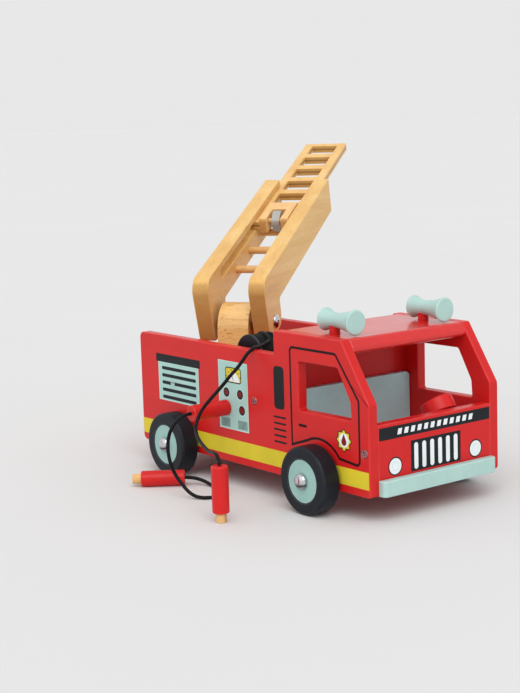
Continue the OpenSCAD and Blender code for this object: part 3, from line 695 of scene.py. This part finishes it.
def cab_shapes():
    """The door with its handle, a locker and slots behind it, and a badge with a drop."""
    return [
        ("outline", stroke(door_outline(), 2.0), 0.06),
        ("outline", [plate(70, 65.3, 80, 67.6, 1.0)], 0.06),
        ("navy", [plate(39.2, 75.7, 52.5, 111, 3.6)], 0.06),
        *[("navy", [plate(38, z - 0.8, 54, z + 0.8, 0.7)], 0.06) for z in SLOTS],
        ("yellow", [badge_outline(1.0)], 0.06), ("navy", stroke(badge_outline(0.97), 0.8), 0.12),
        ("white", [disc(*BADGE, 5.6)], 0.11), ("dark_red", [drop_outline()], 0.15)]


def side_graphics(side):
    """One side panel's prints, with one object for each ink."""
    word = "right" if side < 0 else "left"
    low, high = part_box("side_" + word)
    face = low.y if side < 0 else high.y
    rear, front = low.x / MM + BAND_MARGIN, high.x / MM - BAND_MARGIN

    def place(a, b, lift):
        return Vector((a * MM, face + side * lift * MM, b * MM))

    band = [("yellow", [plate(rear, BAND_LOW, front, BAND_HIGH, 0.2)], 0.05)]
    shapes = band + shutter_shapes() + gauge_shapes() + pump_shapes() + cab_shapes()
    for name in SIDE_INKS:
        printed(f"print_{word}_{name}", name, place,
                [(loops, lift) for colour, loops, lift in shapes if colour == name])


def front_graphics():
    """The prints of the front: a band with a row of dashes, the grille and the headlamps."""
    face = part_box("front_panel")[1].x

    def place(a, b, lift):
        return Vector((face + lift * MM, a * MM, b * MM))

    bars = [-21.5 + 8.6 * i for i in range(6)]
    lamps = [(y, 42.2) for y in (-43.7, 43.7)]
    lean, half_dash, dash_low, dash_high = 0.6, 2.0, 66.6, 71.2
    dashes = [[(y - half_dash - lean, dash_low), (y + half_dash - lean, dash_low),
               (y + half_dash + lean, dash_high), (y - half_dash + lean, dash_high)]
              for y in (-38.5 + 7.0 * i for i in range(12))]
    printed("print_front_navy", "navy", place, [
        ([plate(-60.0, 64, 60.0, 73.8)], 0.06), ([plate(-27, 35, 27, 59.6)], 0.06),
        *[([disc(*lamp, 7.4)], 0.06) for lamp in lamps]])
    printed("print_front_white", "white", place, [
        *[([dash], 0.10) for dash in dashes],
        *[([plate(y - 2.1, 36.4, y + 2.1, 57.5, 2.0)], 0.10) for y in bars],
        *[([disc(*lamp, 6.3)], 0.10) for lamp in lamps]])
    printed("print_front_light", "light", place, [
        *[(stroke(disc(*lamp, 3.4), 0.4), 0.13) for lamp in lamps]])


# ---- pieces of the object ----

# How far each node's sharp edges are rounded, in mm
EDGES = {
    0.9: ["side_right", "side_left", "roof_panel"],
    0.6: ["front_panel", "bed_deck", "chassis_floor", "tailboard", "cab_rear_wall",
          "reel_bracket_outer", "reel_bracket_inner"],
    0.5: ["horn_posts", "steering_wheel", "steering_peg", "horn_right", "horn_left", "reel_axle",
          "reel_core", "pawl"],
    0.7: ["bumper", "seat_back", "rail_right", "rail_left", "turret_block", "pawl_fork",
          "ladder_extension"],
    0.35: ["ladder_rungs", "side_plug", "side_plug_tip", "end_plug", "end_plug_tip", "nozzle",
           "nozzle_tip", "pawl_pin"],
    0.15: ["panel_screws", "front_axle", "rear_axle", "front_axle_caps", "rear_axle_caps",
           "axle_washers", "swivel_screw", "swivel_washer", "pivot_bolt", "pivot_spacers"],
}
OWN_LOOK = {"pawl_fork": "fork_wood", "ladder_extension": "ply_wood", "roof_panel": "gloss_red",
            "seat_back": "seat_paint"}
WHEELS = ("front_right", "front_left", "rear_right", "rear_left")


def solid_pieces():
    for edge, nodes in EDGES.items():
        for node in nodes:
            softened(node, edge, OWN_LOOK.get(node))


def round_pieces():
    """Wheels and reel cheeks, each about its own axle so that the lathe rings run true."""
    for node, edge, material in (
            *[(f"tyre_{wheel}", 0.5, None) for wheel in WHEELS],
            *[(f"hub_{wheel}", 0.3, "aqua_turned") for wheel in WHEELS],
            ("reel_flange_outer", 0.3, None), ("reel_flange_inner", 0.3, None)):
        low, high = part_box(node)
        softened(node, edge, material, tuple((low + high) / 2))


def make_floor():
    """A wide pale floor."""
    grid = bmesh.new()
    bmesh.ops.create_circle(grid, cap_ends=True, radius=30.0, segments=96)
    mesh = bpy.data.meshes.new("floor")
    grid.to_mesh(mesh)
    grid.free()
    floor = bpy.data.objects.new("floor", mesh)
    bpy.context.scene.collection.objects.link(floor)
    s = Shader("floor")
    tone = s.ramp(s.noise(3.0), (0.3, (0.683, 0.683, 0.684)), (0.7, (0.693, 0.693, 0.694)))
    s.set(Base_Color=tone, Roughness=0.9, Specular_IOR_Level=0.1)
    mesh.materials.append(s.material)


make_camera()
solid_pieces()
round_pieces()
free_hose("hose_from_reel", "reel_hose", REEL_ROUTE)
free_hose("hose_from_side_plug", "plug_hose", PLUG_ROUTE)
reel_winding()
side_graphics(-1)
side_graphics(1)
front_graphics()
make_floor()
make_lights()
